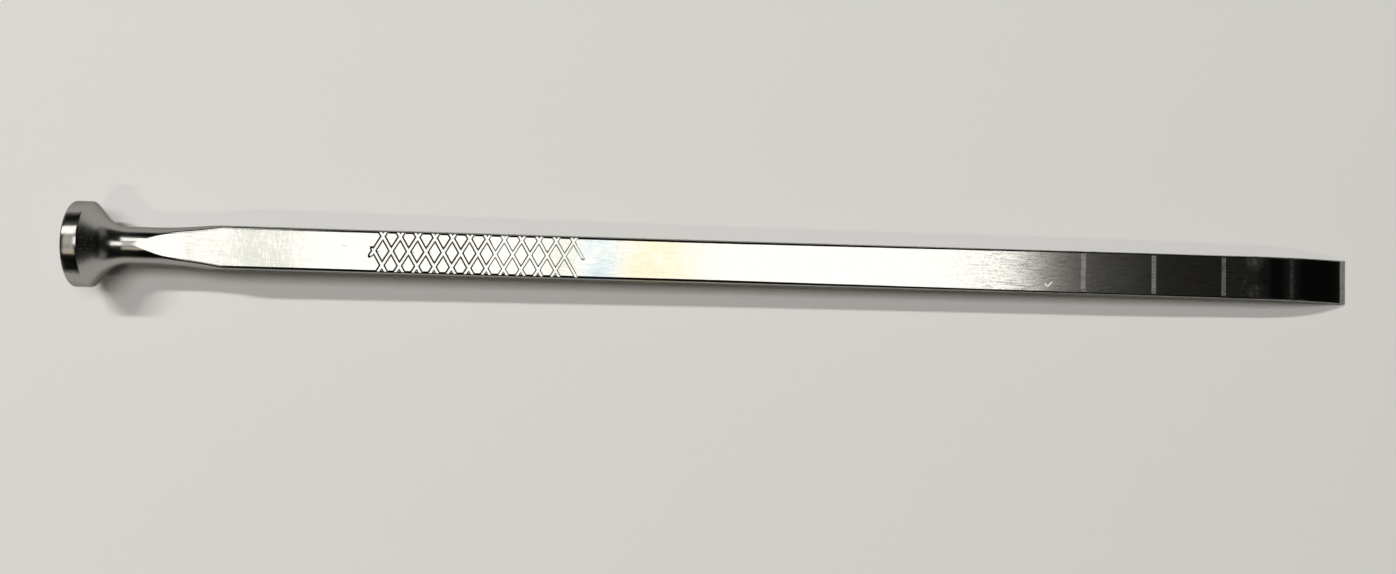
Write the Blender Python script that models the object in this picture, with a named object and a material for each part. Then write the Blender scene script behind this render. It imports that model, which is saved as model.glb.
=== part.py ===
"""A curved osteotome: one piece of stainless steel with a round striking head and a flat, bent blade.

Metres, +Z up. The tool lies on z = 0 on the back of its head's rim and on its cutting edge, so the
shank slopes down a little towards the edge. +X runs from the striking face to the cutting edge, and
the origin is under the middle of the tool's length. Inside the script, distances along the tool's own
centre line are counted from the striking face.
"""
import math

import bmesh
import bpy
import numpy as np
from mathutils import Matrix

MM = 0.001

# The whole tool
LENGTH = 180.9 * MM              # along the centre line, striking face to cutting edge

# The striking head, turned together with the neck
HEAD_RADIUS = 6.0 * MM
HEAD_RIM = 2.2 * MM              # the cylindrical band behind the striking face
HEAD_EDGE = 0.2 * MM             # the softened edge of the striking face
FILLET_RADIUS = 4.6 * MM         # the hollow that runs from the head's back into the neck
NECK_RADIUS = 2.6 * MM
NECK_START = 7.3 * MM            # where the hollow meets the neck
NECK_END = 10.5 * MM             # where the neck starts to widen again
NECK_FLARE = 66.0 * MM           # the radius of that long, slow flare
FLARE_END = 26.0 * MM

# The shank and the blade, ground flat on four sides
WIDTH = 6.05 * MM
WIDENING_START = 159.0 * MM
EDGE_WIDTH = 6.3 * MM            # the end widens a little to the cutting edge
RAMP_START = 8.3 * MM            # the point of the arch that the upper flat draws on the round neck
RAMP_TURN = 11.0 * MM            # where the ramp grows steeper
TURN_THICKNESS = 4.78 * MM
RAMP_END = 14.2 * MM
SHOULDER_THICKNESS = 3.86 * MM
WAIST = 90.0 * MM
WAIST_THICKNESS = 2.6 * MM
BLADE = 150.0 * MM
BLADE_THICKNESS = 2.3 * MM
TIP_THICKNESS = 0.45 * MM        # where the bevel starts
BEVEL_LENGTH = 1.35 * MM
EDGE_THICKNESS = 0.12 * MM       # what is left at the cutting edge
SHANK_SOFTENING = 0.5 * MM       # the radius of the long edges along the shank
BLADE_SOFTENING = 0.25 * MM      # and along the blade
TIP_SOFTENING = 0.06 * MM        # and at the cutting edge
SOFTENING_SHARE = 0.9            # it never takes more than this share of half the thickness

# The bend, an arc of a circle from here to the cutting edge
BEND_START = 164.9 * MM
BEND_ANGLE = math.radians(29.0)

# The grip, cut on both flats: two sets of crossing grooves
GRIP_START = 41.5 * MM           # the first crossing on the middle row
GRIP_PITCH = 2.403 * MM
RISING_GROOVES = 12
FALLING_GROOVES = 13
GRIP_ROW = 2.02 * MM             # between the rows of crossings
GRIP_OFFSET = 0.126 * MM         # the pattern sits this far off the middle of the width
GRIP_MARGIN = 2 * GRIP_PITCH     # of plain flat kept before and after the grip
GROOVE_WIDTH = 0.52 * MM
GROOVE_FLOOR = 0.26 * MM
RISING_DEPTH = 0.13 * MM
FALLING_DEPTH = 0.12 * MM
RISING_OVERRUN = 0.6 * MM        # how far the short first rising groove runs past the middle row
FALLING_OVERRUN = 0.2 * MM       # and the short first and last falling grooves
CUTTER_RISE = 0.3 * MM           # how far the groove cutters stand out of the metal

# The depth marks across the upper face of the blade
FIRST_MARK = 140.75 * MM
MARK_SPACING = 10.0 * MM
MARK_COUNT = 4
MARK_WIDTH = 0.65 * MM
MARK_LENGTH = 5.2 * MM
MARK_DEPTH = 0.05 * MM
MARK_CUTTER_HEIGHT = 0.2 * MM

# Facets
CORNER_ARC_STEPS = 12            # on each quarter of a round section
CORNER_EDGE_STEPS = 2            # on each half of a softened edge
EDGE_STEPS = 3                   # round the edge of the striking face
HOLLOW_STEPS = 8
RAMP_STEPS = 9
BEND_STEPS = 16
LINE_STEP = 0.1 * MM             # for adding up the centre line
STEEPEST = math.radians(5.0)     # the steepest slope at rest that is tried
HALVINGS = 50                    # in the search for the slope at which the edge meets the table
SHARP_ANGLE = math.radians(28.0)
MERGE_DISTANCE = 0.001 * MM

STEEL_COLOUR = (0.72, 0.71, 0.68, 1.0)
STEEL_ROUGHNESS = 0.2


def clear_scene():
    for thing in list(bpy.data.objects):
        bpy.data.objects.remove(thing, do_unlink=True)


def make_steel():
    steel = bpy.data.materials.new("stainless_steel")
    steel.use_nodes = True
    shader = steel.node_tree.nodes["Principled BSDF"]
    shader.inputs["Base Color"].default_value = STEEL_COLOUR
    shader.inputs["Metallic"].default_value = 1.0
    shader.inputs["Roughness"].default_value = STEEL_ROUGHNESS
    return steel


def bend_at(s):
    """The angle through which the bar has been bent at distance s; it grows evenly along the bend."""
    return BEND_ANGLE * np.clip((s - BEND_START) / (LENGTH - BEND_START), 0.0, 1.0)


def running_sum(values, s):
    """The area under values up to each distance, by the trapezium rule."""
    return np.concatenate([[0.0], np.cumsum((values[1:] + values[:-1]) / 2 * np.diff(s))])


class CentreLine:
    """Straight from the striking face and then bent down, at the slope at which the tool comes to rest."""

    def __init__(self):
        self.s = np.linspace(0.0, LENGTH, round(LENGTH / LINE_STEP) + 1)
        level, steep = 0.0, STEEPEST
        for _ in range(HALVINGS):
            self.slope = (level + steep) / 2
            if self.edge_height() > 0.0:
                level = self.slope
            else:
                steep = self.slope
        x = running_sum(np.cos(self.slope + bend_at(self.s)), self.s)
        self.x = x - x[-1] / 2
        self.z = self.heights()

    def heights(self):
        """The line's height, with the back of the head's rim on the table."""
        start = HEAD_RADIUS * math.cos(self.slope) + HEAD_RIM * math.sin(self.slope)
        return start - running_sum(np.sin(self.slope + bend_at(self.s)), self.s)

    def edge_height(self):
        """The height of the lower corner of the cutting edge."""
        return self.heights()[-1] - EDGE_THICKNESS / 2 * math.cos(self.slope + BEND_ANGLE)

    def frame(self, s):
        """A matrix with its origin on the line, X along it, Y across and Z out of the upper face."""
        x = float(np.interp(s, self.s, self.x))
        z = float(np.interp(s, self.s, self.z))
        angle = self.slope + float(bend_at(s))
        return Matrix.Translation((x, 0.0, z)) @ Matrix.Rotation(angle, 4, "Y")


def fillet_start():
    """Where the head's conical back runs into the hollow: a tangent from the rim to the hollow's circle."""
    across = NECK_START - HEAD_RIM
    up = NECK_RADIUS + FILLET_RADIUS - HEAD_RADIUS
    turn = math.atan2(up, across) + math.acos(FILLET_RADIUS / math.hypot(across, up))
    return NECK_START - FILLET_RADIUS * math.cos(turn)


def turned_radius(s):
    """The radius of the turned blank: head, conical back, hollow, neck and the slow flare after it."""
    if s < HEAD_EDGE:
        return HEAD_RADIUS - HEAD_EDGE + math.sqrt(max(0.0, HEAD_EDGE**2 - (HEAD_EDGE - s) ** 2))
    if s <= HEAD_RIM:
        return HEAD_RADIUS
    if s < NECK_START:
        join = fillet_start()
        reach = NECK_START - max(s, join)
        hollow = NECK_RADIUS + FILLET_RADIUS - math.sqrt(FILLET_RADIUS**2 - reach**2)
        share = min(1.0, (s - HEAD_RIM) / (join - HEAD_RIM))
        return hollow if share == 1.0 else HEAD_RADIUS + share * (hollow - HEAD_RADIUS)
    return NECK_RADIUS + max(0.0, s - NECK_END) ** 2 / (2 * NECK_FLARE)


def half_thickness(s):
    """Half the distance between the two broad flats, whose ramp leaves the neck at RAMP_START."""
    places = [RAMP_START, RAMP_TURN, RAMP_END, WAIST, BLADE, LENGTH - BEVEL_LENGTH, LENGTH]
    sizes = [2 * NECK_RADIUS, TURN_THICKNESS, SHOULDER_THICKNESS, WAIST_THICKNESS, BLADE_THICKNESS,
             TIP_THICKNESS, EDGE_THICKNESS]
    return float(np.interp(s, places, sizes)) / 2


def half_width(s):
    """Half the distance between the two narrow flats, which grow apart a little towards the edge."""
    return float(np.interp(s, [WIDENING_START, LENGTH], [WIDTH, EDGE_WIDTH])) / 2


def softening(s):
    """The radius of the long edges; the round neck needs none, and it shrinks to the cutting edge."""
    places = [RAMP_START, RAMP_END, WAIST, BLADE, LENGTH - BEVEL_LENGTH, LENGTH]
    sizes = [0.0, SHANK_SOFTENING, SHANK_SOFTENING, BLADE_SOFTENING, BLADE_SOFTENING, TIP_SOFTENING]
    return min(float(np.interp(s, places, sizes)), SOFTENING_SHARE * half_thickness(s))


def corner_points(s):
    """One quarter of a section, from the upper flat round to the side, as (across, up) pairs.

    The round of the turned blank is cut by the upper flat and the side flat, all three drawn smaller
    by the softening, and the outline is then grown back by that much, which rounds both edges.
    """
    soft = softening(s)
    radius = turned_radius(s) - soft
    ground = s > RAMP_START
    top = half_thickness(s) - soft if ground else HEAD_RADIUS
    side = half_width(s) - soft if ground else HEAD_RADIUS
    if radius >= math.hypot(top, side):
        upper = lower = math.atan2(top, side)
        radius = math.hypot(top, side)
    else:
        upper = math.asin(min(1.0, top / radius))
        lower = math.acos(min(1.0, side / radius))
    points = []
    for step in range(CORNER_EDGE_STEPS):
        normal = math.pi / 2 + (upper - math.pi / 2) * step / CORNER_EDGE_STEPS
        points.append((upper, normal))
    for step in range(CORNER_ARC_STEPS + 1):
        around = upper + (lower - upper) * step / CORNER_ARC_STEPS
        points.append((around, around))
    for step in range(1, CORNER_EDGE_STEPS + 1):
        points.append((lower, lower * (1 - step / CORNER_EDGE_STEPS)))
    return [(radius * math.cos(at) + soft * math.cos(normal), radius * math.sin(at) + soft * math.sin(normal))
            for at, normal in points]


def section(s):
    """A whole section: the corner mirrored into all four quarters, in order round the tool."""
    corner = corner_points(s)
    right = corner + [(across, -up) for across, up in reversed(corner)]
    return right + [(-across, -up) for across, up in right]


def opening_steps(start, end, count):
    """Distances after start, close together at first, because a flat opens out of a round like a root."""
    return [start + (end - start) * (step / count) ** 2 for step in range(1, count + 1)]


def stations():
    """Distances at which the loft has a section: close together where the form turns quickly."""
    edge = [HEAD_EDGE * (1 - math.cos(math.pi / 2 * step / EDGE_STEPS)) for step in range(EDGE_STEPS + 1)]
    hollow = np.linspace(fillet_start(), NECK_START, HOLLOW_STEPS + 1)
    ramp = [RAMP_START, *opening_steps(RAMP_START, RAMP_END, RAMP_STEPS)]
    side_start = NECK_END + math.sqrt(2 * NECK_FLARE * (WIDTH / 2 - NECK_RADIUS))
    sides = [(RAMP_END + side_start) / 2, side_start, *opening_steps(side_start, FLARE_END, RAMP_STEPS)]
    grip_end = GRIP_START + GRIP_PITCH * (FALLING_GROOVES - 1)
    shank = [GRIP_START - GRIP_MARGIN, grip_end + GRIP_MARGIN, WAIST, BLADE]
    bend = [WIDENING_START, *np.linspace(BEND_START, LENGTH - BEVEL_LENGTH, BEND_STEPS + 1)]
    return [*edge, HEAD_RIM, *hollow, *ramp, *sides, *shank, *bend, LENGTH]


def loft_tool(line, steel):
    """The forged, turned and ground form: sections bridged in order, closed by the face and the edge."""
    shape = bmesh.new()
    rings = []
    for s in stations():
        place = line.frame(s)
        rings.append([shape.verts.new(place @ Matrix.Translation((0.0, across, up)).to_translation())
                      for across, up in section(s)])
    for ring, after in zip(rings, rings[1:]):
        count = len(ring)
        for i in range(count):
            j = (i + 1) % count
            shape.faces.new((ring[i], ring[j], after[j], after[i]))
    shape.faces.new(reversed(rings[0]))
    shape.faces.new(rings[-1])
    bmesh.ops.remove_doubles(shape, verts=shape.verts, dist=MERGE_DISTANCE)
    bmesh.ops.recalc_face_normals(shape, faces=shape.faces)
    mesh = bpy.data.meshes.new("osteotome")
    shape.to_mesh(mesh)
    shape.free()
    mesh.shade_smooth()
    mesh.set_sharp_from_angle(angle=SHARP_ANGLE)
    mesh.materials.append(steel)
    tool = bpy.data.objects.new("osteotome", mesh)
    bpy.context.scene.collection.objects.link(tool)
    return tool


def flat_frame(line, s, face):
    """A frame on a broad flat of the straight shank: Z out of the metal; face is 1 above, -1 below."""
    rise = (half_thickness(s + MM) - half_thickness(s)) / MM
    tilt = Matrix.Rotation(-math.atan(rise), 4, "Y")
    turn = Matrix.Rotation(0.0 if face > 0 else math.pi, 4, "X")
    return line.frame(s) @ turn @ Matrix.Translation((0.0, 0.0, half_thickness(s))) @ tilt


def add_groove(shape, place, start, end, depth):
    """A straight groove cutter from start to end, points on the flat, with sloping walls."""
    away = end - start
    turn = Matrix.Rotation(math.atan2(away.y, away.x), 4, "Z")
    flank = (GROOVE_WIDTH - GROOVE_FLOOR) / 2 / depth
    half_top = GROOVE_WIDTH / 2 + flank * CUTTER_RISE
    profile = [(-GROOVE_FLOOR / 2, -depth), (GROOVE_FLOOR / 2, -depth),
               (half_top, CUTTER_RISE), (-half_top, CUTTER_RISE)]
    ends = []
    for along in (0.0, away.length):
        ends.append([shape.verts.new(place @ Matrix.Translation(start) @ turn @
                                     Matrix.Translation((along, across, up)).to_translation())
                     for across, up in profile])
    near, far = ends
    shape.faces.new(near)
    shape.faces.new(reversed(far))
    for i in range(len(profile)):
        j = (i + 1) % len(profile)
        shape.faces.new((near[j], near[i], far[i], far[j]))


def groove_ends(index, rising):
    """Where a groove starts and ends on the flat, counted from the crossing on the middle row.

    The grip is pointed at its start and slanted at its end: the first rising and the last falling
    groove have only their upper half, and the first falling groove only its lower half.
    """
    slope = GRIP_ROW / (GRIP_PITCH / 2)
    low, high = -WIDTH, WIDTH
    if rising and index == 0:
        low = -RISING_OVERRUN
    if not rising and index == FALLING_GROOVES - 1:
        low = -FALLING_OVERRUN
    if not rising and index == 0:
        high = FALLING_OVERRUN
    lean = 1 if rising else -1
    return [(lean * up / slope, up) for up in (low, high)]


def make_grip_cutter(line, rising):
    """All rising or all falling grooves of both flats as one cutter."""
    shape = bmesh.new()
    count = RISING_GROOVES if rising else FALLING_GROOVES
    depth = RISING_DEPTH if rising else FALLING_DEPTH
    middle = GRIP_START + GRIP_PITCH * (FALLING_GROOVES - 1) / 2
    for face in (1, -1):
        place = flat_frame(line, middle, face)
        for index in range(count):
            along = GRIP_START + GRIP_PITCH * index - middle
            start, end = [Matrix.Translation((along + run, GRIP_OFFSET + up, 0.0)).to_translation()
                          for run, up in groove_ends(index, rising)]
            add_groove(shape, place, start, end, depth)
    return cutter_from(shape, "rising_grooves" if rising else "falling_grooves")


def make_mark_cutter(line):
    """The depth marks: shallow straight cuts across the upper face, square to the blade."""
    shape = bmesh.new()
    for index in range(MARK_COUNT):
        s = FIRST_MARK + MARK_SPACING * index
        size = Matrix.Diagonal((MARK_WIDTH, MARK_LENGTH, MARK_CUTTER_HEIGHT, 1.0))
        lift = Matrix.Translation((0.0, 0.0, half_thickness(s) - MARK_DEPTH + MARK_CUTTER_HEIGHT / 2))
        bmesh.ops.create_cube(shape, size=1.0, matrix=line.frame(s) @ lift @ size)
    return cutter_from(shape, "depth_marks")


def cutter_from(shape, name):
    bmesh.ops.recalc_face_normals(shape, faces=shape.faces)
    mesh = bpy.data.meshes.new(name)
    shape.to_mesh(mesh)
    shape.free()
    cutter = bpy.data.objects.new(name, mesh)
    cutter.hide_render = True
    cutter.display_type = "WIRE"
    bpy.context.scene.collection.objects.link(cutter)
    return cutter


def cut(tool, cutter):
    boolean = tool.modifiers.new(cutter.name, "BOOLEAN")
    boolean.operation = "DIFFERENCE"
    boolean.solver = "EXACT"
    boolean.object = cutter


clear_scene()
centre_line = CentreLine()
osteotome = loft_tool(centre_line, make_steel())
cut(osteotome, make_grip_cutter(centre_line, rising=True))
cut(osteotome, make_grip_cutter(centre_line, rising=False))
cut(osteotome, make_mark_cutter(centre_line))
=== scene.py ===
"""The looks of a curved osteotome: its polished surface, the cut grip, the depth marks and the setting.

Metres, +Z up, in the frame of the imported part. The tool lies on z = 0 on the back of its head's rim and
on its cutting edge, and +X runs from the striking face to the cutting edge. Distances along the tool's
centre line are counted from the striking face and called s.
"""

import math

import bmesh
import bpy
import numpy as np
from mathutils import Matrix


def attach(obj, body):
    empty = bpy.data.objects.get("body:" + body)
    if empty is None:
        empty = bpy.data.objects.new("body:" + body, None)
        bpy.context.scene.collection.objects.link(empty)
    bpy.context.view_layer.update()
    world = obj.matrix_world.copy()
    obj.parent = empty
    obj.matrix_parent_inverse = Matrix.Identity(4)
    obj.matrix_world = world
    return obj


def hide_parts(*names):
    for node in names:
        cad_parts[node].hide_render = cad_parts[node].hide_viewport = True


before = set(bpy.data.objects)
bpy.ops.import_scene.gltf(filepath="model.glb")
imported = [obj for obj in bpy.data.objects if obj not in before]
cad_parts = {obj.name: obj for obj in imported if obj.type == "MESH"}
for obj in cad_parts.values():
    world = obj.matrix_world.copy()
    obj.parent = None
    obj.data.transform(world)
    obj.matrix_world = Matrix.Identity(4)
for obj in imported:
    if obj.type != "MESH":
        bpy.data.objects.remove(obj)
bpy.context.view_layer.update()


# The centre line of the tool
# One bar of stainless steel, straight from the striking face and bent down along an arc at its end. It
# rests on the rim of its head and on its cutting edge, so that the straight of it slopes a little.
MM = 0.001
LENGTH = 180.9 * MM
HEAD_RADIUS = 6.0 * MM
HEAD_RIM = 2.2 * MM
EDGE_THICKNESS = 0.12 * MM
BEND_START = 164.9 * MM
BEND_ANGLE = math.radians(29.0)
LINE_STEP = 0.1 * MM
STEEPEST = math.radians(5.0)
HALVINGS = 50


def bend_at(s):
    """The angle of the bend at s, which grows evenly from its start to the cutting edge."""
    return BEND_ANGLE * np.clip((s - BEND_START) / (LENGTH - BEND_START), 0.0, 1.0)


def running_sum(values, s):
    """The trapezium rule: the area under values from the first s up to each s."""
    return np.concatenate([[0.0], np.cumsum((values[1:] + values[:-1]) / 2 * np.diff(s))])


def line_height(slope):
    """The height of the line, which starts where the rim's back touches the table and falls by the sine."""
    start = HEAD_RADIUS * math.cos(slope) + HEAD_RIM * math.sin(slope)
    return start - running_sum(np.sin(slope + bend_at(line_s)), line_s)


line_s = np.linspace(0.0, LENGTH, round(LENGTH / LINE_STEP) + 1)
level, steep = 0.0, STEEPEST
for halving in range(HALVINGS):
    slope_at_rest = (level + steep) / 2
    if line_height(slope_at_rest)[-1] > EDGE_THICKNESS / 2 * math.cos(slope_at_rest + BEND_ANGLE):
        level = slope_at_rest
    else:
        steep = slope_at_rest
line_z = line_height(slope_at_rest)
line_x = running_sum(np.cos(slope_at_rest + bend_at(line_s)), line_s)
line_x -= line_x[-1] / 2


def place(s, across, up):
    """Points in the world: the centre line at s, plus across along Y, plus up along the line's own normal."""
    angle = slope_at_rest + bend_at(s)
    x = np.interp(s, line_s, line_x) + up * np.sin(angle)
    z = np.interp(s, line_s, line_z) + up * np.cos(angle)
    return np.stack([x, across, z], axis=-1)


# The turned and ground form
# The blank is turned to a mushroom head, a hollow and a neck, and then four flats are ground along it,
# which leave the round neck in an arch and thin the blade to its edge. All long edges are eased.
HEAD_EDGE = 0.2 * MM
RIM_BACK_EASE = 0.1 * MM
FILLET_RADIUS = 4.6 * MM
NECK_RADIUS = 2.6 * MM
NECK_START = 7.3 * MM
NECK_END = 10.5 * MM
NECK_FLARE = 66.0 * MM
FLARE_END = 26.0 * MM
WIDTH = 6.05 * MM
WIDENING_START = 159.0 * MM
EDGE_WIDTH = 6.3 * MM
RAMP_START = 8.3 * MM
RAMP_TURN = 9.9 * MM
RAMP_END = 13.7 * MM
WAIST = 90.0 * MM
BLADE = 150.0 * MM
BEVEL_START = LENGTH - 1.35 * MM
BEVEL_EASE = 0.03 * MM
TAPER = [(RAMP_START, 2 * NECK_RADIUS), (RAMP_TURN, 2 * NECK_RADIUS), (RAMP_END, 3.8 * MM), (WAIST, 2.6 * MM),
         (BLADE, 2.3 * MM), (BEVEL_START, 0.45 * MM), (LENGTH, EDGE_THICKNESS)]
TAPER_EASES = [1.6 * MM, 1.6 * MM, 30.0 * MM, 9.0 * MM, BEVEL_EASE]
SHANK_SOFTENING = 0.5 * MM
BLADE_SOFTENING = 0.25 * MM
EDGE_SOFTENING = 0.06 * MM
SOFTENING_SHARE = 0.9            # the softening never takes more than this share of half the thickness


def past(s, corner, ease):
    """The distance past a corner: nothing before it, the distance after it, and a parabola across it."""
    away = s - corner
    return np.where(away < -ease, 0.0, np.where(away > ease, away, (away + ease) ** 2 / (4 * ease)))


def turned_radius(s):
    """The radius of the blank: an eased rim, a cone, the circle of the hollow, and the neck's slow flare."""
    across = NECK_START - HEAD_RIM
    up = NECK_RADIUS + FILLET_RADIUS - HEAD_RADIUS
    turn = math.atan2(up, across) + math.acos(FILLET_RADIUS / math.hypot(across, up))
    join = NECK_START - FILLET_RADIUS * math.cos(turn)
    front = HEAD_RADIUS - HEAD_EDGE + np.sqrt(np.clip(HEAD_EDGE**2 - (HEAD_EDGE - s) ** 2, 0.0, None))
    cone = HEAD_RADIUS - past(s, HEAD_RIM, RIM_BACK_EASE) / math.tan(turn)
    reach = np.clip(NECK_START - s, 0.0, FILLET_RADIUS)
    hollow = NECK_RADIUS + FILLET_RADIUS - np.sqrt(FILLET_RADIUS**2 - reach**2)
    neck = NECK_RADIUS + np.clip(s - NECK_END, 0.0, None) ** 2 / (2 * NECK_FLARE)
    return np.select([s < HEAD_EDGE, s < join, s < NECK_START], [front, cone, hollow], neck)


def half_thickness(s):
    """Half the distance between the broad flats: straight tapers joined by parabolas."""
    slopes = [(t2 - t1) / (s2 - s1) for (s1, t1), (s2, t2) in zip(TAPER, TAPER[1:])]
    total = TAPER[0][1] + slopes[0] * (s - TAPER[0][0])
    for (corner, _), before, after, ease in zip(TAPER[1:], slopes, slopes[1:], TAPER_EASES):
        total = total + (after - before) * past(s, corner, ease)
    return total / 2


def half_width(s):
    """Half the distance between the narrow flats, which part a little towards the cutting edge."""
    return np.interp(s, [WIDENING_START, LENGTH], [WIDTH / 2, EDGE_WIDTH / 2])


def softening(s):
    """The radius of the long edges: none on the round neck, and less and less towards the cutting edge."""
    places = [RAMP_START, RAMP_END, WAIST, BLADE, BEVEL_START, LENGTH]
    sizes = [0.0, SHANK_SOFTENING, SHANK_SOFTENING, BLADE_SOFTENING, BLADE_SOFTENING, EDGE_SOFTENING]
    return np.minimum(np.interp(s, places, sizes), SOFTENING_SHARE * half_thickness(s))


# The grip, milled across both broad flats
# Two sets of parallel grooves cross at about 60 degrees, each with a flat floor and sloping walls. The
# pattern starts in a point, and towards its end the cutter lifts and leaves the last rising groove out.
GRIP_START = 41.5 * MM
GRIP_PITCH = 2.403 * MM
GRIP_ROW = 2.02 * MM
GRIP_LEAN = 2 * GRIP_ROW / GRIP_PITCH
GRIP_FINENESS = 28               # columns of points to a pitch, and lines of points to a row of crossings
GRIP_COLUMN = GRIP_PITCH / GRIP_FINENESS
GRIP_LINE = GRIP_ROW / GRIP_FINENESS
GRIP_OFFSET = 2 * GRIP_LINE      # the middle row of crossings lies two lines off the middle
GRIP_MARGIN = 11                 # columns of points before the first crossing and after the last
GROOVE_REACH = 4.5 * GRIP_COLUMN # half the width of a groove, measured along the tool
GROOVE_FLOOR = 2.0 / 4.5         # the floor's share of the width
GROOVE_COUNTS = {1: 12, -1: 13}  # rising and falling grooves
GROOVE_DEPTHS = {1: 0.13 * MM, -1: 0.12 * MM}
FIRST_OVERRUNS = {1: 0.6 * MM, -1: 0.2 * MM}
LAST_OVERRUN = 0.2 * MM
LIFT_START = GRIP_START + 5.0 * GRIP_PITCH
LIFT_END = GRIP_START + 12.4 * GRIP_PITCH
LIFTED_SHARE = 0.4               # of the full depth, where the cutter is all but out


def groove_depth(s, across):
    """How deep the grip is cut: the full depth on a groove's floor and less and less up its walls.

    A groove leans +1 or -1 times GRIP_LEAN through its crossing on the middle row. Where two cross, the
    deeper counts. The halves that end inside the grip stop in a round end, a little past the middle row.
    """
    up = across - GRIP_OFFSET
    deepest = np.zeros(np.broadcast(s, across).shape)
    lifted = np.interp(s, [LIFT_START, LIFT_END], [1.0, LIFTED_SHARE])
    for lean in (1, -1):
        for index in range(GROOVE_COUNTS[lean]):
            away = (s - GRIP_START - GRIP_PITCH * index - lean * up / GRIP_LEAN) / GROOVE_REACH
            beyond = 0.0
            if index == 0:
                beyond = np.clip(-lean * up - FIRST_OVERRUNS[lean], 0.0, None) / GROOVE_REACH
            elif index == GROOVE_COUNTS[-1] - 1:
                beyond = np.clip(lean * up - LAST_OVERRUN, 0.0, None) / GROOVE_REACH
            wall = (np.hypot(away, beyond) - GROOVE_FLOOR) / (1 - GROOVE_FLOOR)
            deepest = np.maximum(deepest, GROOVE_DEPTHS[lean] * (lifted - np.clip(wall, 0.0, lifted)))
    return deepest


# The depth marks, across the upper face of the blade
# Four shallow bands, 10 mm apart, ground just deep enough to stay satin when the rest is polished.
FIRST_MARK = 140.75 * MM
MARK_SPACING = 10.0 * MM
MARK_COUNT = 4
MARK_WIDTH = 0.65 * MM
MARK_DEPTH = 0.0008 * MM
MARK_WALL = 0.03 * MM
MARK_ENDS = (0.955, 0.975)       # shares of the flat's half width: the end of the floor, the top of the wall


def mark_share(s, across_share):
    """1 on the floor of a depth mark and 0 outside it, with straight walls, along and across the blade."""
    nearest = np.clip(np.round((s - FIRST_MARK) / MARK_SPACING), 0, MARK_COUNT - 1)
    away = np.abs(s - FIRST_MARK - MARK_SPACING * nearest)
    along = np.clip((MARK_WIDTH / 2 - away) / MARK_WALL, 0.0, 1.0)
    across = np.clip((MARK_ENDS[1] - np.abs(across_share)) / (MARK_ENDS[1] - MARK_ENDS[0]), 0.0, 1.0)
    return along * across


# The surface of the tool, in sheets of points
# Each sheet is a function of s and of a row number: the right and left sides, the two broad flats, and
# over the grip a skewed net, so that both sets of grooves run exactly along lines of points.
EDGE_ROWS = 6
NET_ROWS = 3                     # of them belong to the net, as they are as far apart as its lines
ARC_ROWS = 20
NEAR_GRIP = ([32.0 * MM, 38.0 * MM, 74.0 * MM, 80.0 * MM], [0.0, 1.0, 1.0, 0.0])
SHARP_ANGLE = math.radians(28.0)
MERGE_DISTANCE = 0.001 * MM
FLAT_SHARES = np.array([-1.0, -MARK_ENDS[1], -MARK_ENDS[0], MARK_ENDS[0], MARK_ENDS[1], 1.0])
FACE_SHARES = np.array([1.0, 0.985, 0.6, 0.3, 0.0])


def in_order(*steps):
    """Distances in rising order, without those that fall on each other."""
    s = np.sort(np.concatenate([np.atleast_1d(step) for step in steps]))
    return s[np.concatenate([[True], np.diff(s) > MERGE_DISTANCE])]


def opening(start, end, count):
    """Distances close together at first, because a flat opens out of a round like a root."""
    return start + (end - start) * (np.arange(count + 1) / count) ** 2


def quarter(s):
    """One quarter of the section at each s, from the upper flat to the side, as arrays across and up.

    The round of the blank is cut by the flats, all drawn smaller by the softening, and then grown back by
    it: a point is the corner's centre plus the softening times (cos, sin) of the surface's direction.
    """
    soft = softening(s)[:, None]
    top = np.where(s > RAMP_START, half_thickness(s), 2 * HEAD_RADIUS)[:, None] - soft
    side = np.where(s > RAMP_START, half_width(s), 2 * HEAD_RADIUS)[:, None] - soft
    radius = np.minimum(turned_radius(s)[:, None] - soft, np.hypot(top, side))
    upper = np.arcsin(np.clip(top / radius, -1.0, 1.0))
    lower = np.minimum(np.arccos(np.clip(side / radius, -1.0, 1.0)), upper)
    even = np.arange(EDGE_ROWS + 1) / EDGE_ROWS
    sines = GRIP_LINE * np.arange(NET_ROWS + 1) / np.maximum(soft, MERGE_DISTANCE)
    netted = np.arcsin(np.clip(sines, 0.0, 1.0)) / np.maximum(math.pi / 2 - upper, MERGE_DISTANCE)
    beyond = np.arange(1, EDGE_ROWS - NET_ROWS + 1) / (EDGE_ROWS - NET_ROWS)
    netted = np.append(netted, netted[:, -1:] + (1 - netted[:, -1:]) * beyond, axis=1)
    near_grip = np.interp(s, *NEAR_GRIP)[:, None]
    first = math.pi / 2 + (upper - math.pi / 2) * (even + near_grip * (netted - even))
    arc = upper + (lower - upper) * np.arange(1, ARC_ROWS) / ARC_ROWS
    second = lower * (1 - even)
    direction = np.concatenate([first, arc, second], axis=1)
    centre = np.concatenate([first * 0 + upper, arc, second * 0 + lower], axis=1)
    across = radius * np.cos(centre) + soft * np.cos(direction)
    up = radius * np.sin(centre) + soft * np.sin(direction)
    return across, up


def half_section(s, side):
    """The right (1) or left (-1) half of the section at each s, from the upper flat to the lower one."""
    across, up = quarter(s)
    return side * np.append(across, across[:, ::-1], axis=1), np.append(up, -up[:, ::-1], axis=1)


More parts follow.
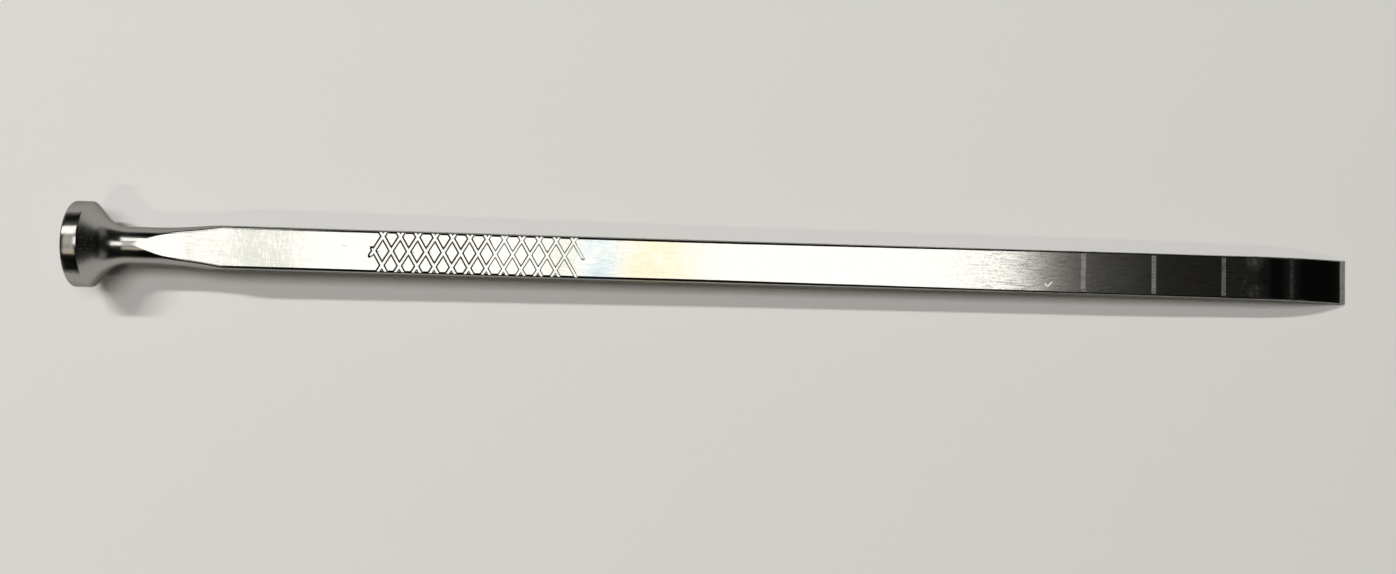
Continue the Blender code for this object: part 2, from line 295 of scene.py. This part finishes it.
class Sheets:
    """The sheets as they are added: points, faces, and how satin the finish is at each point."""

    def __init__(self):
        self.points, self.faces, self.satin = [], [], []
        self.count = 0

    def add(self, s, across, up, satin=0.0, odd_lines=None):
        """Points along s and across, bridged by quads, or by triangles that follow a net of skewed lines."""
        s, across, up, satin = np.broadcast_arrays(s, across, up, satin)
        index = self.count + np.arange(s.size).reshape(s.shape)
        self.count += s.size
        self.points.append(place(s, across, up).reshape(-1, 3))
        self.satin.append(satin.ravel())
        a, b, c, d = index[:-1, :-1], index[:-1, 1:], index[1:, 1:], index[1:, :-1]
        if odd_lines is None:
            self.faces += np.stack([a, b, c, d], axis=-1).reshape(-1, 4).tolist()
        else:
            odd = np.broadcast_to(odd_lines[:-1, None], (*a.shape, 1))
            near = np.where(odd, np.stack([a, b, c], axis=-1), np.stack([a, b, d], axis=-1))
            far = np.where(odd, np.stack([a, c, d], axis=-1), np.stack([b, c, d], axis=-1))
            self.faces += near.reshape(-1, 3).tolist() + far.reshape(-1, 3).tolist()
        return index

    def add_striking_face(self, side):
        """Half of the striking face: the section where it starts, drawn smaller ring by ring."""
        across, up = half_section(np.zeros(1), side)
        self.add(0.0, FACE_SHARES[:, None] * across, FACE_SHARES[:, None] * up)

    def add_side(self, s, side, rows_left_out=0):
        """The right or left side, without the rows at its upper and lower end that belong to a net."""
        across, up = half_section(s, side)
        rows = slice(rows_left_out, across.shape[1] - rows_left_out)
        return self.add(s[:, None], across[:, rows], up[:, rows])

    def add_flat(self, s, face):
        """The upper (1) or lower (-1) flat, with the depth marks sunk into the upper one."""
        across, up = (part[:, :1] for part in quarter(s))
        satin = mark_share(s[:, None], FLAT_SHARES) if face > 0 else 0.0
        return self.add(s[:, None], across * FLAT_SHARES, face * up - MARK_DEPTH * satin, satin)

    def add_net(self, s, face):
        """A flat with the grip: height 0 on the flat, a circle over the eased edges, and less where cut."""
        edge = WIDTH / 2 - SHANK_SOFTENING
        half_lines = round(edge / GRIP_LINE) + NET_ROWS
        across = GRIP_LINE * np.arange(-half_lines, half_lines + 1)
        odd = np.round((across - GRIP_OFFSET) / GRIP_LINE) % 2 == 1
        s = s[:, None] + np.where(odd, GRIP_COLUMN / 2, 0.0) * inner(s)
        over = np.clip(np.abs(across) - edge, 0.0, None)
        round_drop = SHANK_SOFTENING - np.sqrt(SHANK_SOFTENING**2 - over**2)
        up = half_thickness(s) - np.maximum(groove_depth(s, across), round_drop)
        return self.add(s, across, face * up, odd_lines=odd)


def inner(s):
    """1 for each s but the first and the last, as a column."""
    return np.where((s > s[0]) & (s < s[-1]), 1.0, 0.0)[:, None]


grip_first = GRIP_START - GRIP_MARGIN * GRIP_COLUMN
grip_columns = (GROOVE_COUNTS[-1] - 1) * GRIP_FINENESS + 2 * GRIP_MARGIN
grip_last = grip_first + grip_columns * GRIP_COLUMN
side_start = NECK_END + math.sqrt(2 * NECK_FLARE * (WIDTH / 2 - NECK_RADIUS))
# The last number of each stretch is its count of points, or of steps where a flat opens.
head_s = in_order(HEAD_EDGE * (1 - np.cos(np.linspace(0.0, math.pi / 2, 7))),
                  np.linspace(HEAD_EDGE, HEAD_RIM - RIM_BACK_EASE, 5),
                  np.linspace(HEAD_RIM - RIM_BACK_EASE, HEAD_RIM + RIM_BACK_EASE, 5),
                  np.linspace(HEAD_RIM + RIM_BACK_EASE, RAMP_START, 40), opening(RAMP_START, RAMP_END, 40),
                  np.linspace(RAMP_END, side_start, 8), opening(side_start, FLARE_END, 20),
                  np.linspace(FLARE_END, grip_first, 10))
grip_s = np.linspace(grip_first, grip_last, grip_columns + 1)
mark_s = FIRST_MARK + MARK_SPACING * np.arange(MARK_COUNT)
mark_edges = [mark_s + side * (MARK_WIDTH / 2 + wall) for side in (-1, 1)
              for wall in (-MARK_WALL, 0.0, MARK_WALL)]
blade_s = in_order(np.linspace(grip_last, BLADE, 50), *mark_edges,
                   np.linspace(BLADE, BEVEL_START - BEVEL_EASE, 60), BEVEL_START + BEVEL_EASE, LENGTH)

sheets = Sheets()
for side in (1, -1):
    sheets.add_side(head_s, side)
for side in (1, -1):
    sheets.add_striking_face(side)
right_end, left_end = [sheets.add_side(blade_s, side)[-1] for side in (1, -1)]
sheets.faces.append([*right_end, *left_end[::-1]])
for face in (1, -1):
    before = sheets.add_flat(head_s[:-1], face)[-1]
    net = sheets.add_net(grip_s, face)[:, NET_ROWS:-NET_ROWS]
    after = sheets.add_flat(blade_s[1:], face)[0]
    sheets.faces.append([*before, *net[0][::-1]])
    sheets.faces.append([*net[-1], *after[::-1]])
for side in (1, -1):
    sheets.add_side(grip_s, side, NET_ROWS)

tool_mesh = bpy.data.meshes.new("osteotome_body")
tool_mesh.from_pydata(np.concatenate(sheets.points), [], sheets.faces)
satin_values = tool_mesh.attributes.new("satin", "FLOAT", "POINT")
satin_values.data.foreach_set("value", np.concatenate(sheets.satin))
joined = bmesh.new()
joined.from_mesh(tool_mesh)
bmesh.ops.remove_doubles(joined, verts=joined.verts, dist=MERGE_DISTANCE)
bmesh.ops.recalc_face_normals(joined, faces=joined.faces)
joined.to_mesh(tool_mesh)
joined.free()
tool_mesh.shade_smooth()
tool_mesh.set_sharp_from_angle(angle=SHARP_ANGLE)
tool = bpy.data.objects.new("osteotome_body", tool_mesh)
bpy.context.scene.collection.objects.link(tool)
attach(tool, "root")
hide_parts("osteotome")


# The steel's finish
# Surgical stainless steel, turned on the head, ground and brushed along the bar, then polished by hand. It
# has fine lengthwise lines, satin depth marks, faint stains, faint bluish and yellowish tints in bands, and a
# few scratches lightened in colour as a painted glint. Dashes of painted shade mark burrs at the grip.
class Wire:
    """An output socket of a material. Sums and products of wires and numbers add their Math nodes."""

    def __init__(self, socket):
        self.socket = socket

    def math(self, operation, first, second=0.0):
        """A Math node on one or two wires or numbers."""
        node = self.socket.id_data.nodes.new("ShaderNodeMath")
        node.operation = operation
        for socket, value in zip(node.inputs, (first, second)):
            plug(socket, value)
        return Wire(node.outputs[0])

    def __add__(self, other):
        return self.math("ADD", self, other)

    def __radd__(self, other):
        return self.math("ADD", other, self)

    def __sub__(self, other):
        return self.math("SUBTRACT", self, other)

    def __rsub__(self, other):
        return self.math("SUBTRACT", other, self)

    def __mul__(self, other):
        return self.math("MULTIPLY", self, other)

    def __rmul__(self, other):
        return self.math("MULTIPLY", other, self)

    def __truediv__(self, other):
        return self.math("DIVIDE", self, other)

    def __pow__(self, other):
        return self.math("POWER", self, other)

    def __abs__(self):
        return self.math("ABSOLUTE", self)

    def larger(self, other):
        """The larger of two values."""
        return self.math("MAXIMUM", self, other)


def plug(socket, value):
    """Links a wire to a socket, or sets the socket to a number, a colour or a vector."""
    if isinstance(value, Wire):
        socket.id_data.links.new(value.socket, socket)
    else:
        socket.default_value = value


class Finish:
    """A material or the room in the making: nodes are added one by one, and the last feed its shader."""

    def __init__(self, name, kind=bpy.data.materials, shader="Principled BSDF"):
        self.material = kind.new(name)
        self.material.use_nodes = True
        self.nodes = self.material.node_tree.nodes
        self.shader = self.nodes[shader]

    def node(self, kind, settings=None, inputs=None, output=0):
        """A node of a type, with its settings first and then its sockets, given by name or number."""
        node = self.nodes.new("ShaderNode" + kind)
        for name, value in (settings or {}).items():
            setattr(node, name, value)
        for name, value in (inputs or {}).items():
            plug(node.inputs[name], value)
        return Wire(node.outputs[output])

    def set(self, **inputs):
        """Feeds the shader's sockets, whose names are written with underscores."""
        for name, value in inputs.items():
            plug(self.shader.inputs[name.replace("_", " ")], value)

    def smooth(self, value, low, high, to_low=0.0, to_high=1.0):
        """A smooth step from to_low at low to to_high at high."""
        return self.node("MapRange", {"interpolation_type": "SMOOTHSTEP"}, {
            "Value": value, "From Min": low, "From Max": high, "To Min": to_low, "To Max": to_high})

    def band(self, value, places):
        """1 between the inner two of four places and 0 outside the outer two."""
        return self.smooth(value, *places[:2]) * self.smooth(value, *places[2:], 1.0, 0.0)

    def noise(self, vector, scale, detail=3.0, roughness=0.5):
        """Soft noise around 0.5, with this many waves to the metre."""
        return self.node("TexNoise", None, {"Vector": vector, "Scale": scale, "Detail": detail,
                                            "Roughness": roughness})

    def stretched(self, vector, stretch, scale, detail=3.0, roughness=0.5):
        """Noise drawn out along the axes by these factors, so that it turns into lines or bands."""
        squeezed = self.node("VectorMath", {"operation": "DIVIDE"}, {0: vector, 1: stretch})
        return self.noise(squeezed, scale, detail, roughness)

    def spot(self, x, y, place, size):
        """1 in the middle of an oval spot, as seen from above, and 0 outside it."""
        away = ((x - place[0]) / size[0]) ** 2 + ((y - place[1]) / size[1]) ** 2
        return self.smooth(away, 0.0, 1.0, 1.0, 0.0)

    def scratch(self, x, y, start, end, width):
        """1 on a straight scratch from start to end and 0 outside it, with ends that fade."""
        along = (end[0] - start[0], end[1] - start[1])
        length = math.hypot(*along)
        across = ((x - start[0]) * along[1] - (y - start[1]) * along[0]) / length
        run = ((x - start[0]) * along[0] + (y - start[1]) * along[1]) / length
        middle = (run - length / 2) / (length / 2 + width)
        return self.smooth((across / width) ** 2 + middle ** 8, 0.0, 1.0, 1.0, 0.0)

    def mix(self, share, first, second):
        """Colours mixed by a share, on the node's sockets for colours."""
        return self.node("Mix", {"data_type": "RGBA"}, {0: share, 6: first, 7: second}, output=2)


STEEL_COLOUR = (0.40, 0.394, 0.376, 1.0)
STAIN_COLOUR = (0.30, 0.303, 0.282, 1.0)
WORN_COLOUR = (0.345, 0.348, 0.315, 1.0)
# near-black: the painted shade of the burrs beside the grip's crossings
BURR_SHADE_COLOUR = (0.06, 0.06, 0.055, 1.0)
# near-white: the painted glint on the scratches
GLINT_COLOUR = (0.90, 0.89, 0.85, 1.0)
BLUISH_COLOUR = (0.267, 0.321, 0.333, 1.0)
YELLOWISH_COLOUR = (0.40, 0.356, 0.268, 1.0)
BLACK = (0.0, 0.0, 0.0, 1.0)

# Places along the tool, in metres from its middle, at which a finish comes in and goes out
RIM_END = (-0.0880, -0.0878)
BAR_START = (-0.083, -0.078)
TAIL_START = (0.028, 0.048)
STAINED_BAND = (-0.0735, -0.0655, -0.0625, -0.055)
WORN_BAND = (-0.0255, -0.0225, -0.0212, -0.0190)
BLUISH_BAND = (-0.0215, -0.0175, -0.0165, -0.011)
YELLOWISH_BAND = (-0.0165, -0.0115, -0.0105, 0.001)

# Marks of use: the start, end and width of a scratch, and the middle and half lengths of a spot
DARK_FLECK = ((-0.0530, 0.00075), (-0.0523, 0.0006), 0.00015)
# The faint scratch and the tick are also lightened in colour further down: a painted glint.
FAINT_SCRATCH = ((0.0741, 0.0005), (0.0730, -0.0021), 0.00006)
TICK_SCRATCHES = [((0.0452, -0.0017), (0.0456, -0.0021), 0.00014),
                  ((0.0456, -0.0021), (0.0462, -0.0015), 0.00014)]
SMUDGES = [((0.0755, 0.0024), (0.0022, 0.0020)), ((0.0756, -0.0021), (0.0020, 0.0017))]
EDGE_NICK = ((0.0823, -0.0029), (0.0008, 0.00025))
BURR_SHADE_CROSSINGS = (0, 2, 3)     # those of the grip's middle row with a burr beside them, drawn as a dash of painted shade
BURR_SHADE_START = (0.0003, 0.00012)   # from the crossing
BURR_SHADE_END = (0.0008, 0.00002)
BURR_SHADE_WIDTH = 0.00006

# Roughness of the mirror polish, and what each kind of finish adds to it
POLISHED = 0.03
LINED = 0.10
PATCHY = 0.02
TURNED = 0.1
RIM_GROUND = 0.09
TAIL_GROUND = 0.04
SATIN = 0.3
SCRATCHED = 0.3
SMUDGED = 0.22
DULLING = (0.12, 0.58)           # how far the dull lines darken the bar, and what the tail adds to that
LINE_HEIGHT = 0.00002
LINE_STRENGTH = 0.15
GRAZING_TINT = (0.5, 0.5, 0.5, 1.0)      # it stays a little darker than a mirror where seen along its surface


def make_steel():
    """Bright steel that is rougher where it is lined, turned, satin or scratched, and tinted in bands."""
    steel = Finish("stainless_steel")
    position = steel.node("TexCoord", output="Object")
    x = steel.node("SeparateXYZ", None, {0: position}, output="X")
    y = steel.node("SeparateXYZ", None, {0: position}, output="Y")
    satin = steel.node("Attribute", {"attribute_name": "satin"}, output=2)
    rim = steel.smooth(x, *RIM_END, 1.0, 0.0)
    bar = steel.smooth(x, *BAR_START)
    turned = (1.0 - bar) * (1.0 - rim)
    tail = steel.smooth(x, *TAIL_START)
    fine_lines = steel.stretched(position, (40.0, 1.0, 1.0), 9000.0, 3.0, 0.6)
    streaks = steel.stretched(position, (16.0, 1.0, 1.0), 7000.0, 4.0, 0.7)
    turning_lines = steel.stretched(position, (1.0, 30.0, 30.0), 6000.0, 3.0, 0.6)
    smears = steel.stretched(position, (1.0, 7.0, 1.0), 5000.0, 4.0, 0.7)
    patches = steel.noise(position, 250.0, 4.0, 0.6)
    grains = steel.noise(position, 4000.0, 3.0, 0.7)
    rough_lines = streaks * 0.6 + grains * 0.4

    stained = steel.band(x, STAINED_BAND) * steel.smooth(smears * 0.65 + patches * 0.35, 0.40, 0.56)
    stained = stained + steel.scratch(x, y, *DARK_FLECK)
    worn = steel.band(x, WORN_BAND) * steel.smooth(smears * 0.5 + patches * 0.5, 0.3, 0.6)
    bluish = steel.band(x, BLUISH_BAND) * steel.smooth(streaks * 0.4 + patches * 0.6, 0.3, 0.6)
    yellowish = steel.band(x, YELLOWISH_BAND) * steel.smooth(patches, 0.2, 0.5)
    dull = steel.smooth(rough_lines, 0.44, 0.62) * bar
    colour = steel.mix(stained, STEEL_COLOUR, STAIN_COLOUR)
    colour = steel.mix(worn, colour, WORN_COLOUR)
    colour = steel.mix(bluish, colour, BLUISH_COLOUR)
    colour = steel.mix(yellowish, colour, YELLOWISH_COLOUR)
    colour = steel.mix(dull * (DULLING[0] + DULLING[1] * tail), colour, BLACK)
    # Beside some crossings of the grip, a burr drawn as a near-black dash: painted shade.
    for crossing in BURR_SHADE_CROSSINGS:
        crossing_x = line_x[0] + GRIP_START + GRIP_PITCH * crossing
        start, end = [(crossing_x + along, across) for along, across in (BURR_SHADE_START, BURR_SHADE_END)]
        colour = steel.mix(steel.scratch(x, y, start, end, BURR_SHADE_WIDTH), colour, BURR_SHADE_COLOUR)

    # Scratches: rougher, and lightened in colour as a painted glint.
    scratched_and_glint = steel.scratch(x, y, *FAINT_SCRATCH) * 0.3
    for tick in TICK_SCRATCHES:
        scratched_and_glint = scratched_and_glint + steel.scratch(x, y, *tick)
    colour = steel.mix(scratched_and_glint, colour, GLINT_COLOUR)
    nicked = steel.spot(x, y, *EDGE_NICK)
    smudged = steel.spot(x, y, *SMUDGES[0]) + steel.spot(x, y, *SMUDGES[1])
    smudged = smudged * steel.smooth(patches * 0.3 + smears * 0.4 + grains * 0.3, 0.38, 0.62)
    roughness = POLISHED + LINED * steel.smooth(rough_lines, 0.42, 0.7) + PATCHY * patches
    roughness = roughness + TURNED * turned * (1.0 + patches) + RIM_GROUND * rim + TAIL_GROUND * tail
    roughness = roughness + SATIN * satin + SCRATCHED * (scratched_and_glint + nicked) + SMUDGED * smudged

    height = (fine_lines * 0.6 + streaks * 0.4) * bar + turning_lines * (1.0 - bar) + grains * turned
    bump = steel.node("Bump", None, {"Strength": LINE_STRENGTH, "Distance": LINE_HEIGHT,
                                     "Height": height + satin * fine_lines})
    steel.set(Base_Color=colour, Metallic=1.0, Roughness=roughness, Normal=bump,
              Specular_Tint=GRAZING_TINT)
    return steel.material


tool_mesh.materials.append(make_steel())


# The table
# A plain, pale, matt sheet that the tool lies on, wide enough to fill every view of it. Far from the tool,
# where the lamps no longer reach, it keeps about the same tone by itself.
TABLE_SIZE = 6.0
TABLE_COLOUR = (0.703, 0.70, 0.684, 1.0)
FAR_COLOUR = (0.62, 0.617, 0.603, 1.0)
FAR_START = 0.1
FAR_END = 2.2


def make_table():
    """One square, with a glow that grows smoothly with the distance from its middle."""
    mesh = bpy.data.meshes.new("table")
    half = TABLE_SIZE / 2
    mesh.from_pydata([(-half, -half, 0.0), (half, -half, 0.0), (half, half, 0.0), (-half, half, 0.0)], [],
                     [(0, 1, 2, 3)])
    paper = Finish("table_paper")
    position = paper.node("TexCoord", output="Object")
    x = paper.node("SeparateXYZ", None, {0: position}, output="X")
    y = paper.node("SeparateXYZ", None, {0: position}, output="Y")
    far = paper.smooth((x ** 2 + y ** 2) ** 0.5, FAR_START, FAR_END)
    seen = paper.node("LightPath", output="Is Camera Ray") + paper.node("LightPath", output="Is Glossy Ray")
    paper.set(Base_Color=TABLE_COLOUR, Roughness=0.9, Specular_IOR_Level=0.2, Emission_Strength=1.0,
              Emission_Color=paper.mix(far * seen, BLACK, FAR_COLOUR))
    mesh.materials.append(paper.material)
    table = bpy.data.objects.new("table", mesh)
    bpy.context.scene.collection.objects.link(table)


make_table()


# The lamps
# Long soft boxes over the tool, parallel to it. The one overhead whitens the straight of the bar, those
# ahead leave the blade dark, and those behind and in front draw the lights on the head and two shadows.
LAMP_HEIGHT = 1.5
MIRRORED_HEIGHT = 1.4            # those seen in the steel hang in front of the others


def add_lamp(name, x_slopes, y_slopes, strength, colour, mirrored):
    """A flat lamp that spans these slopes, sideways over upwards, as seen from the middle of the tool.

    Its power is its strength, the brightness of its face, times its area and pi. A mirrored one is only
    seen in the steel, and any other only lights the table and is not seen in the steel.
    """
    height = MIRRORED_HEIGHT if mirrored else LAMP_HEIGHT
    light = bpy.data.lights.new(name, "AREA")
    light.shape = "RECTANGLE"
    light.size = (x_slopes[1] - x_slopes[0]) * height
    light.size_y = (y_slopes[1] - y_slopes[0]) * height
    light.energy = strength * light.size * light.size_y * math.pi
    light.color = colour
    lamp = bpy.data.objects.new(name, light)
    lamp.location = (sum(x_slopes) / 2 * height, sum(y_slopes) / 2 * height, height)
    lamp.visible_glossy = mirrored
    lamp.visible_diffuse = not mirrored
    bpy.context.scene.collection.objects.link(lamp)


add_lamp("overhead_light", (-0.44, 0.285), (0.0, 0.25), 8.2, (1.0, 0.99, 0.97), mirrored=False)
add_lamp("back_light", (-0.95, -0.38), (0.47, 0.53), 111.0, (1.0, 0.985, 0.96), mirrored=False)
add_lamp("front_light", (-0.46, -0.30), (-0.47, -0.41), 44.0, (1.0, 0.92, 0.78), mirrored=False)
add_lamp("overhead_box", (-0.365, 0.297), (-0.10, 0.25), 2.8, (1.0, 0.99, 0.96), mirrored=True)
add_lamp("overhead_left", (-0.53, -0.365), (-0.34, 0.40), 0.85, (1.0, 0.96, 0.88), mirrored=True)
add_lamp("overhead_right", (0.297, 0.330), (-0.10, 0.25), 0.31, (1.0, 0.91, 0.78), mirrored=True)
add_lamp("far_wall", (0.330, 0.42), (-0.10, 0.25), 0.095, (1.0, 0.98, 0.95), mirrored=True)
add_lamp("far_floor", (0.42, 0.60), (-0.10, 0.25), 0.028, (1.0, 0.98, 0.95), mirrored=True)
add_lamp("far_edge", (0.60, 0.78), (-0.10, 0.25), 0.014, (1.0, 0.98, 0.95), mirrored=True)
add_lamp("back_box", (-0.8, -0.33), (0.40, 0.93), 2.7, (1.0, 0.99, 0.97), mirrored=True)
add_lamp("back_wall", (-0.8, -0.33), (0.93, 1.5), 0.1, (1.0, 0.96, 0.9), mirrored=True)
add_lamp("front_box", (-0.6, -0.37), (-0.60, -0.34), 1.1, (1.0, 0.9, 0.72), mirrored=True)


# The room
# Pale walls up to 24 degrees over the table and a dark ceiling, which throw almost no light. In the steel
# the walls look lower and dimmer, with four taller corners, and the wall ahead of the edge looks dark.
WALL_COLOUR = (1.0, 0.995, 0.97, 1.0)
WALL_STRENGTH = 0.55
WALL_TOP = 0.40                  # the sine of the angle at which the walls end
MIRRORED_TOP = 0.24              # the same, as the steel mirrors them
MIRRORED_SHARE = 0.7             # how light the walls are in the steel
AHEAD_SHARE = 0.04               # the same, for the wall ahead of the cutting edge
AHEAD_START = (0.72, 0.92)       # where that wall starts, as the share of a direction that points ahead
CORNER_SHARE = 0.45              # how light the corners are in the steel
CORNER_BAND = (0.42, 0.55, 0.70, 0.82)
CORNER_TOP = (0.35, 0.75)
CEILING_STRENGTH = 0.006


def make_room():
    """The walls and corners as smooth steps of two parts of a direction: along the tool and upwards."""
    room = Finish("studio", bpy.data.worlds, "Background")
    direction = room.node("TexCoord", output="Generated")
    ahead = room.node("SeparateXYZ", None, {0: direction}, output="X")
    height = room.node("SeparateXYZ", None, {0: direction}, output="Z")
    seen = room.node("LightPath", output="Is Camera Ray") * room.smooth(height, 0.0, WALL_TOP, 1.0, 0.0)
    walls = room.smooth(height, 0.0, MIRRORED_TOP, 1.0, 0.0)
    walls = walls * room.smooth(ahead, *AHEAD_START, MIRRORED_SHARE, AHEAD_SHARE)
    corners = room.band(abs(ahead), CORNER_BAND) * room.smooth(height, *CORNER_TOP, CORNER_SHARE, 0.0)
    mirrored = room.node("LightPath", output="Is Glossy Ray") * walls.larger(corners)
    room.set(Color=WALL_COLOUR, Strength=CEILING_STRENGTH + WALL_STRENGTH * (seen + mirrored))
    bpy.context.scene.world = room.material


make_room()


# The camera
# It looks almost straight down from about 20 cm over the middle of the tool, as the photograph does.
CAMERA_PLACE = (-5.374 * MM, -15.470 * MM, 208.267 * MM)
CAMERA_TURN = (3.347, -0.644, 1.581)
CAMERA_LENS = 37.39              # in mm, as is the sensor
CAMERA_SENSOR = 36.0
CAMERA_NEAR = 10 * MM

camera = bpy.data.objects.new("camera", bpy.data.cameras.new("camera"))
camera.location = CAMERA_PLACE
camera.rotation_euler = [math.radians(turn) for turn in CAMERA_TURN]
camera.data.lens = CAMERA_LENS
camera.data.sensor_width = CAMERA_SENSOR
camera.data.clip_start = CAMERA_NEAR
bpy.context.scene.collection.objects.link(camera)
bpy.context.scene.camera = camera

bpy.context.scene.view_settings.view_transform = "Standard"
